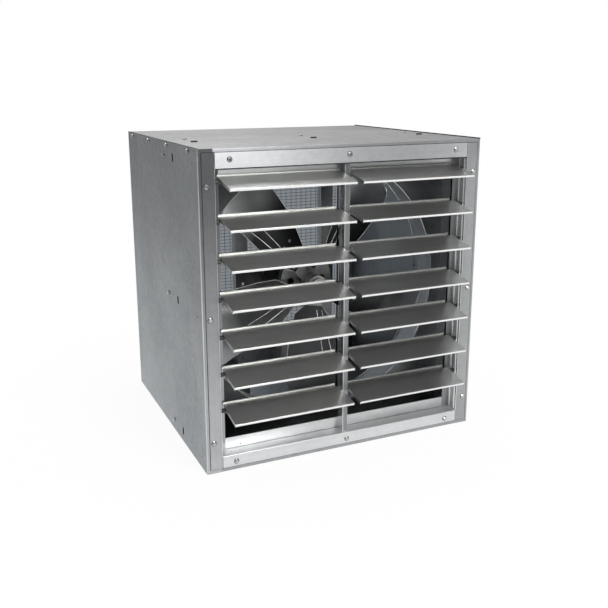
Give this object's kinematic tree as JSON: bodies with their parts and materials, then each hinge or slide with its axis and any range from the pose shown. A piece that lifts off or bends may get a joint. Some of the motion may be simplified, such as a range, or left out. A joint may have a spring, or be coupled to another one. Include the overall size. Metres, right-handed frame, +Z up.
{
  "type": "cabinet exhaust fan",
  "caption": "Sheet-metal cabinet exhaust fan with a twin-column gravity shutter, spun orifice, direct-drive propeller, motor struts and rear wire guard.",
  "frame": {"origin": "centre of the cabinet's base face", "axes": "+Z up, -Y out of the shutter, +X to the right seen from the shutter"},
  "size_m": [0.8472, 0.8258, 0.8706],
  "materials": {
    "galvanized_sheet": "satin",
    "shutter_frame_sheet": "satin",
    "blade_aluminium": "satin",
    "black_nylon": "matte",
    "guard_wire": "satin",
    "motor_paint": "satin",
    "cast_aluminium": "matte",
    "stator_iron": "matte",
    "ground_steel": "satin",
    "zinc_fastener": "satin",
    "propeller_sheet": "satin",
    "junction_steel": "satin"
  },
  "bodies": {
    "cabinet": {"left_side_panel": "galvanized_sheet", "right_side_panel": "galvanized_sheet", "top_panel": "galvanized_sheet", "bottom_panel": "galvanized_sheet", "orifice_panel": "galvanized_sheet", "orifice_ring": "galvanized_sheet", "left_jamb": "shutter_frame_sheet", "right_jamb": "shutter_frame_sheet", "head_rail": "shutter_frame_sheet", "sill_rail": "shutter_frame_sheet", "mullion": "shutter_frame_sheet", "pivot_bushings": "black_nylon", "guard_mesh": "guard_wire", "guard_frame": "galvanized_sheet", "left_motor_strut": "galvanized_sheet", "right_motor_strut": "galvanized_sheet", "motor_plate": "motor_paint", "strut_cross_rail": "galvanized_sheet", "motor_shell": "motor_paint", "motor_front_bell": "cast_aluminium", "motor_rear_bell": "cast_aluminium", "motor_stator": "stator_iron", "motor_bearings": "ground_steel", "junction_box": "junction_steel", "junction_cover": "junction_steel", "cabinet_screws": "zinc_fastener", "shutter_screws": "zinc_fastener", "guard_screws": "zinc_fastener", "motor_bolts": "zinc_fastener"},
    "propeller": {"motor_shaft": "ground_steel", "motor_rotor": "stator_iron", "propeller_hub": "cast_aluminium", "propeller_blade_1": "propeller_sheet", "propeller_blade_2": "propeller_sheet", "propeller_blade_3": "propeller_sheet", "propeller_blade_4": "propeller_sheet", "propeller_blade_5": "propeller_sheet", "propeller_rivets": "zinc_fastener", "hub_set_screw": "zinc_fastener"},
    "left_blade_1": {"left_blade_1": "blade_aluminium"},
    "left_blade_2": {"left_blade_2": "blade_aluminium"},
    "left_blade_3": {"left_blade_3": "blade_aluminium"},
    "left_blade_4": {"left_blade_4": "blade_aluminium"},
    "left_blade_5": {"left_blade_5": "blade_aluminium"},
    "left_blade_6": {"left_blade_6": "blade_aluminium"},
    "left_blade_7": {"left_blade_7": "blade_aluminium"},
    "left_tie": {"left_tie_bar": "blade_aluminium", "left_tie_eyelets": "black_nylon"},
    "right_blade_1": {"right_blade_1": "blade_aluminium"},
    "right_blade_2": {"right_blade_2": "blade_aluminium"},
    "right_blade_3": {"right_blade_3": "blade_aluminium"},
    "right_blade_4": {"right_blade_4": "blade_aluminium"},
    "right_blade_5": {"right_blade_5": "blade_aluminium"},
    "right_blade_6": {"right_blade_6": "blade_aluminium"},
    "right_blade_7": {"right_blade_7": "blade_aluminium"},
    "right_tie": {"right_tie_bar": "blade_aluminium", "right_tie_eyelets": "black_nylon"}
  },
  "joints": [
    {"name": "propeller_spin", "type": "hinge", "parent": "cabinet", "child": "propeller", "pos_m": [0, -0.153, 0.433], "axis": [0, 1, 0], "continuous": true},
    {"name": "left_blade_1_hinge", "type": "hinge", "parent": "cabinet", "child": "left_blade_1", "pos_m": [-0.18375, -0.357, 0.7805], "axis": [1, 0, 0], "range_deg": [-5, 70.5]},
    {"name": "left_blade_2_hinge", "type": "hinge", "parent": "cabinet", "child": "left_blade_2", "pos_m": [-0.18375, -0.357, 0.6782], "axis": [1, 0, 0], "range_deg": [-5, 70.5]},
    {"name": "left_blade_3_hinge", "type": "hinge", "parent": "cabinet", "child": "left_blade_3", "pos_m": [-0.18375, -0.357, 0.5759], "axis": [1, 0, 0], "range_deg": [-5, 70.5]},
    {"name": "left_blade_4_hinge", "type": "hinge", "parent": "cabinet", "child": "left_blade_4", "pos_m": [-0.18375, -0.357, 0.4736], "axis": [1, 0, 0], "range_deg": [-5, 70.5]},
    {"name": "left_blade_5_hinge", "type": "hinge", "parent": "cabinet", "child": "left_blade_5", "pos_m": [-0.18375, -0.357, 0.3713], "axis": [1, 0, 0], "range_deg": [-5, 70.5]},
    {"name": "left_blade_6_hinge", "type": "hinge", "parent": "cabinet", "child": "left_blade_6", "pos_m": [-0.18375, -0.357, 0.269], "axis": [1, 0, 0], "range_deg": [-5, 70.5]},
    {"name": "left_blade_7_hinge", "type": "hinge", "parent": "cabinet", "child": "left_blade_7", "pos_m": [-0.18375, -0.357, 0.1667], "axis": [1, 0, 0], "range_deg": [-5, 70.5]},
    {"name": "left_tie_hinge", "type": "hinge", "parent": "left_blade_1", "child": "left_tie", "pos_m": [-0.01625, -0.34339, 0.78633], "axis": [1, 0, 0], "range_deg": [-70.5, 5]},
    {"name": "right_blade_1_hinge", "type": "hinge", "parent": "cabinet", "child": "right_blade_1", "pos_m": [0.18375, -0.357, 0.7805], "axis": [1, 0, 0], "range_deg": [-5, 70.5]},
    {"name": "right_blade_2_hinge", "type": "hinge", "parent": "cabinet", "child": "right_blade_2", "pos_m": [0.18375, -0.357, 0.6782], "axis": [1, 0, 0], "range_deg": [-5, 70.5]},
    {"name": "right_blade_3_hinge", "type": "hinge", "parent": "cabinet", "child": "right_blade_3", "pos_m": [0.18375, -0.357, 0.5759], "axis": [1, 0, 0], "range_deg": [-5, 70.5]},
    {"name": "right_blade_4_hinge", "type": "hinge", "parent": "cabinet", "child": "right_blade_4", "pos_m": [0.18375, -0.357, 0.4736], "axis": [1, 0, 0], "range_deg": [-5, 70.5]},
    {"name": "right_blade_5_hinge", "type": "hinge", "parent": "cabinet", "child": "right_blade_5", "pos_m": [0.18375, -0.357, 0.3713], "axis": [1, 0, 0], "range_deg": [-5, 70.5]},
    {"name": "right_blade_6_hinge", "type": "hinge", "parent": "cabinet", "child": "right_blade_6", "pos_m": [0.18375, -0.357, 0.269], "axis": [1, 0, 0], "range_deg": [-5, 70.5]},
    {"name": "right_blade_7_hinge", "type": "hinge", "parent": "cabinet", "child": "right_blade_7", "pos_m": [0.18375, -0.357, 0.1667], "axis": [1, 0, 0], "range_deg": [-5, 70.5]},
    {"name": "right_tie_hinge", "type": "hinge", "parent": "right_blade_1", "child": "right_tie", "pos_m": [0.35125, -0.34339, 0.78633], "axis": [1, 0, 0], "range_deg": [-70.5, 5]}
  ],
  "couplings": [
    {"joint": "left_blade_2_hinge", "follows": "left_blade_1_hinge", "ratio": 1},
    {"joint": "left_blade_3_hinge", "follows": "left_blade_1_hinge", "ratio": 1},
    {"joint": "left_blade_4_hinge", "follows": "left_blade_1_hinge", "ratio": 1},
    {"joint": "left_blade_5_hinge", "follows": "left_blade_1_hinge", "ratio": 1},
    {"joint": "left_blade_6_hinge", "follows": "left_blade_1_hinge", "ratio": 1},
    {"joint": "left_blade_7_hinge", "follows": "left_blade_1_hinge", "ratio": 1},
    {"joint": "left_tie_hinge", "follows": "left_blade_1_hinge", "ratio": -1},
    {"joint": "right_blade_2_hinge", "follows": "right_blade_1_hinge", "ratio": 1},
    {"joint": "right_blade_3_hinge", "follows": "right_blade_1_hinge", "ratio": 1},
    {"joint": "right_blade_4_hinge", "follows": "right_blade_1_hinge", "ratio": 1},
    {"joint": "right_blade_5_hinge", "follows": "right_blade_1_hinge", "ratio": 1},
    {"joint": "right_blade_6_hinge", "follows": "right_blade_1_hinge", "ratio": 1},
    {"joint": "right_blade_7_hinge", "follows": "right_blade_1_hinge", "ratio": 1},
    {"joint": "right_tie_hinge", "follows": "right_blade_1_hinge", "ratio": -1}
  ]
}
